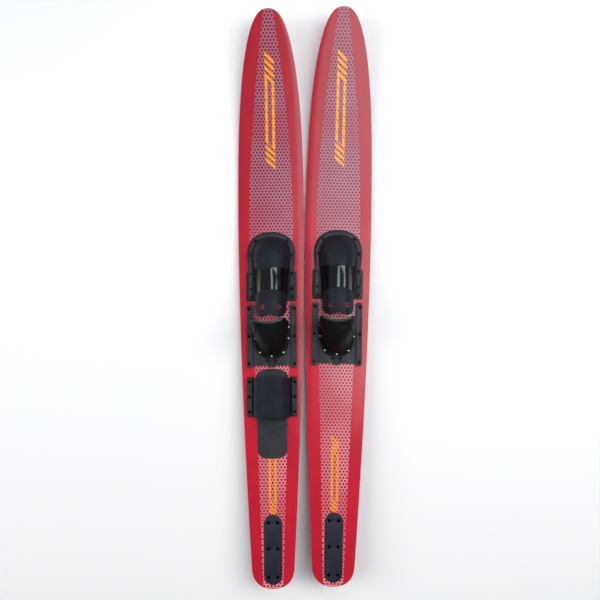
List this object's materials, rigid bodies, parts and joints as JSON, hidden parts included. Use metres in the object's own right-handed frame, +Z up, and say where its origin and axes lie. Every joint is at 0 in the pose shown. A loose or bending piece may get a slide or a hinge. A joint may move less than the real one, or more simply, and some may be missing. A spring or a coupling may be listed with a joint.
{
  "type": "water ski pair",
  "caption": "Combo water skis with adjustable rubber bindings, tail fins and a rear toe strap on the left ski, laid side by side, deck up.",
  "frame": {"origin": "centre of the pair's bounding box, on the ground that the skis rest on", "axes": "+Z up, away from the ground; +Y toward the tips; +X from the left ski to the right ski"},
  "size_m": [0.3952, 1.6551, 0.1692],
  "materials": {
    "base_plastic": "smooth",
    "core_foam": "raw, hidden except at the edge",
    "top_laminate": "glossy printed laminate: red with a pale dotted band and orange marks",
    "insert_brass": "machined",
    "fin_plastic": "moulded",
    "fin_plate_plastic": "fine grain",
    "screw_black": "black zinc",
    "plate_plastic": "moulded",
    "rubber_gloss": "glossy",
    "rubber_matte": "matte",
    "rubber_hood": "satin",
    "clamp_plastic": "moulded",
    "rack_steel": "brushed",
    "rivet_steel": "polished",
    "lever_plastic": "moulded",
    "pin_steel": "drawn",
    "pad_foam": "fine closed-cell foam"
  },
  "bodies": {
    "left_ski": {"left_base_sheet": "base_plastic", "left_core": "core_foam", "left_top_sheet": "top_laminate", "left_threaded_inserts": "insert_brass", "left_fin": "fin_plastic", "left_fin_plate": "fin_plate_plastic", "left_fin_bolts": "screw_black", "left_toe_plate": "plate_plastic", "left_toe_rubber": "rubber_gloss", "left_toe_cap": "rubber_matte", "left_instep_flap": "rubber_matte", "left_horseshoe_clamp": "clamp_plastic", "left_horseshoe_screws": "screw_black", "left_rail_outer": "clamp_plastic", "left_rail_inner": "clamp_plastic", "left_rail_screws": "screw_black", "left_lock_rack": "rack_steel", "rear_toe_strap": "rubber_matte", "rear_clamp_outer": "clamp_plastic", "rear_clamp_inner": "clamp_plastic", "rear_toe_screws": "screw_black", "rear_foot_pad": "pad_foam"},
    "left_heel": {"left_heel_plate": "plate_plastic", "left_heel_rubber": "rubber_hood", "left_heel_rivets": "rivet_steel", "left_lock_pin": "pin_steel", "left_lock_springs": "pin_steel"},
    "left_lever": {"left_lock_lever": "lever_plastic"},
    "right_ski": {"right_base_sheet": "base_plastic", "right_core": "core_foam", "right_top_sheet": "top_laminate", "right_threaded_inserts": "insert_brass", "right_fin": "fin_plastic", "right_fin_plate": "fin_plate_plastic", "right_fin_bolts": "screw_black", "right_toe_plate": "plate_plastic", "right_toe_rubber": "rubber_gloss", "right_toe_cap": "rubber_matte", "right_instep_flap": "rubber_matte", "right_horseshoe_clamp": "clamp_plastic", "right_horseshoe_screws": "screw_black", "right_rail_outer": "clamp_plastic", "right_rail_inner": "clamp_plastic", "right_rail_screws": "screw_black", "right_lock_rack": "rack_steel"},
    "right_heel": {"right_heel_plate": "plate_plastic", "right_heel_rubber": "rubber_hood", "right_heel_rivets": "rivet_steel", "right_lock_pin": "pin_steel", "right_lock_springs": "pin_steel"},
    "right_lever": {"right_lock_lever": "lever_plastic"}
  },
  "joints": [
    {"name": "skis_apart", "type": "slide", "parent": "left_ski", "child": "right_ski", "axis": [1, 0, 0], "range_m": [0, 0.25]},
    {"name": "left_heel_slide", "type": "slide", "parent": "left_ski", "child": "left_heel", "axis": [-0.0139, 0.9982, -0.0588], "range_m": [0, 0.035]},
    {"name": "left_lock_lever_hinge", "type": "hinge", "parent": "left_heel", "child": "left_lever", "pos_m": [-0.09381, -0.17823, 0.05349], "axis": [-0.9999, -0.014, 0], "range_deg": [0, 10], "stiffness_Nm_per_rad": 0.2, "springref_deg": -20.05},
    {"name": "right_heel_slide", "type": "slide", "parent": "right_ski", "child": "right_heel", "axis": [0.0139, 0.9982, -0.0588], "range_m": [0, 0.035]},
    {"name": "right_lock_lever_hinge", "type": "hinge", "parent": "right_heel", "child": "right_lever", "pos_m": [0.09381, -0.17123, 0.05349], "axis": [-0.9999, 0.014, 0], "range_deg": [0, 10], "stiffness_Nm_per_rad": 0.2, "springref_deg": -20.05}
  ]
}
